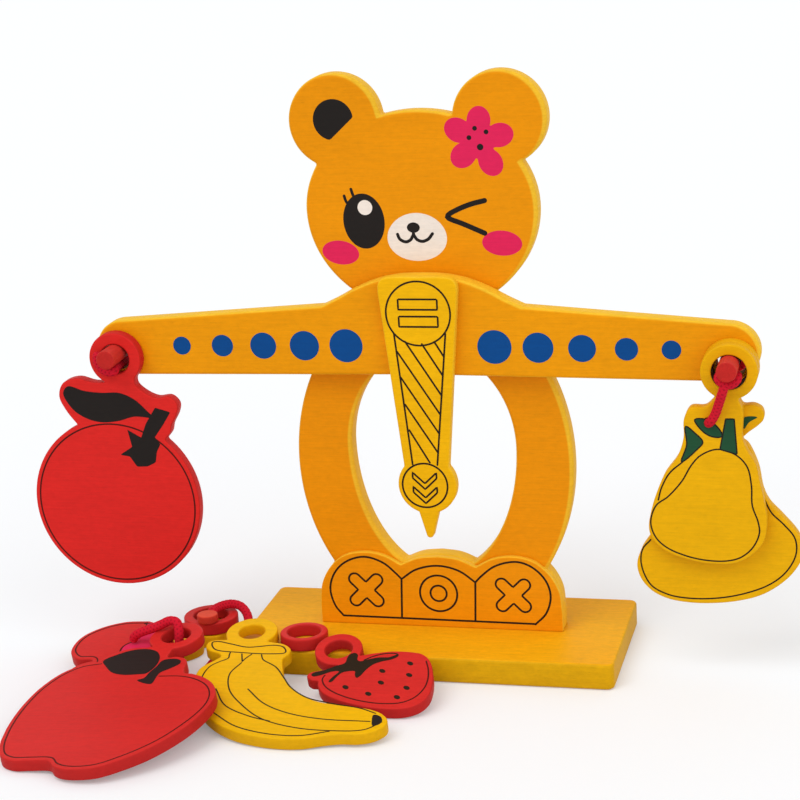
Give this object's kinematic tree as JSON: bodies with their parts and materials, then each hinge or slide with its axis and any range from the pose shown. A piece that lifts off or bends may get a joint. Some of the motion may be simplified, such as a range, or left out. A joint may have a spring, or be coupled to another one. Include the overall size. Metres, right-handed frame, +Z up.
{
  "type": "wooden balance scale toy",
  "caption": "Wooden balance scale toy: a bear-shaped stand with a tilting beam and pointer, fruit boards hung from its two sticks and loose fruit boards lying in front.",
  "frame": {"origin": "on the floor, under the middle of the bear board's front face", "axes": "+Z up; the bear's face looks along -Y; +X is to the right of someone who looks at the face"},
  "size_m": [0.3441, 0.1907, 0.2591],
  "materials": {
    "orange_wood": "satin",
    "yellow_wood": "satin",
    "red_wood": "satin",
    "pink_wood": "satin",
    "pale_wood": "satin",
    "cord": "matte",
    "steel": "satin"
  },
  "bodies": {
    "stand": {"base": "orange_wood", "base_screws": "steel", "bear_panel": "orange_wood", "foot_plate": "orange_wood", "pivot_screw": "steel", "pivot_washers": "steel"},
    "balance_beam": {"beam": "orange_wood", "pointer": "yellow_wood", "left_stick": "red_wood", "right_stick": "red_wood", "left_cord": "cord"},
    "hung_round_fruit": {"round_fruit": "red_wood"},
    "hung_front_pear": {"front_pear": "yellow_wood", "right_cord": "cord"},
    "hung_back_pear": {"back_pear": "yellow_wood"},
    "loose_small_banana": {"small_banana": "yellow_wood"},
    "loose_far_ring": {"far_ring": "red_wood"},
    "loose_peach": {"peach": "pink_wood"},
    "loose_banana": {"banana": "yellow_wood"},
    "loose_apple": {"apple": "red_wood", "cord_button": "pale_wood", "pile_cord": "cord"},
    "loose_strawberry": {"strawberry": "red_wood"},
    "loose_base_ring": {"base_ring": "red_wood"}
  },
  "joints": [
    {"name": "beam_tilt", "type": "hinge", "parent": "stand", "child": "balance_beam", "pos_m": [0, -0.005, 0.158], "axis": [0, 1, 0], "range_deg": [-6, 12]},
    {"name": "round_fruit_swing", "type": "hinge", "parent": "balance_beam", "child": "hung_round_fruit", "pos_m": [-0.139, -0.012, 0.1399], "axis": [0, 1, 0], "range_deg": [-20, 20]},
    {"name": "front_pear_swing", "type": "hinge", "parent": "balance_beam", "child": "hung_front_pear", "pos_m": [0.131, -0.018, 0.1392], "axis": [0, 1, 0], "range_deg": [-20, 20]},
    {"name": "back_pear_swing", "type": "hinge", "parent": "balance_beam", "child": "hung_back_pear", "pos_m": [0.131, -0.012, 0.1392], "axis": [0, 1, 0], "range_deg": [-20, 20]},
    {"name": "small_banana_away", "type": "slide", "parent": "stand", "child": "loose_small_banana", "axis": [0, -1, 0], "range_m": [0, 0.02]},
    {"name": "far_ring_away", "type": "slide", "parent": "loose_small_banana", "child": "loose_far_ring", "axis": [0, -1, 0], "range_m": [0, 0.02]},
    {"name": "peach_away", "type": "slide", "parent": "loose_far_ring", "child": "loose_peach", "axis": [0, -1, 0], "range_m": [0, 0.02]},
    {"name": "banana_away", "type": "slide", "parent": "loose_peach", "child": "loose_banana", "axis": [0, -1, 0], "range_m": [0, 0.02]},
    {"name": "apple_away", "type": "slide", "parent": "loose_banana", "child": "loose_apple", "axis": [0, -1, 0], "range_m": [0, 0.02]},
    {"name": "strawberry_lift", "type": "slide", "parent": "stand", "child": "loose_strawberry", "axis": [0, 0, 1], "range_m": [0, 0.03]},
    {"name": "base_ring_lift", "type": "slide", "parent": "stand", "child": "loose_base_ring", "axis": [0, 0, 1], "range_m": [0, 0.03]}
  ]
}
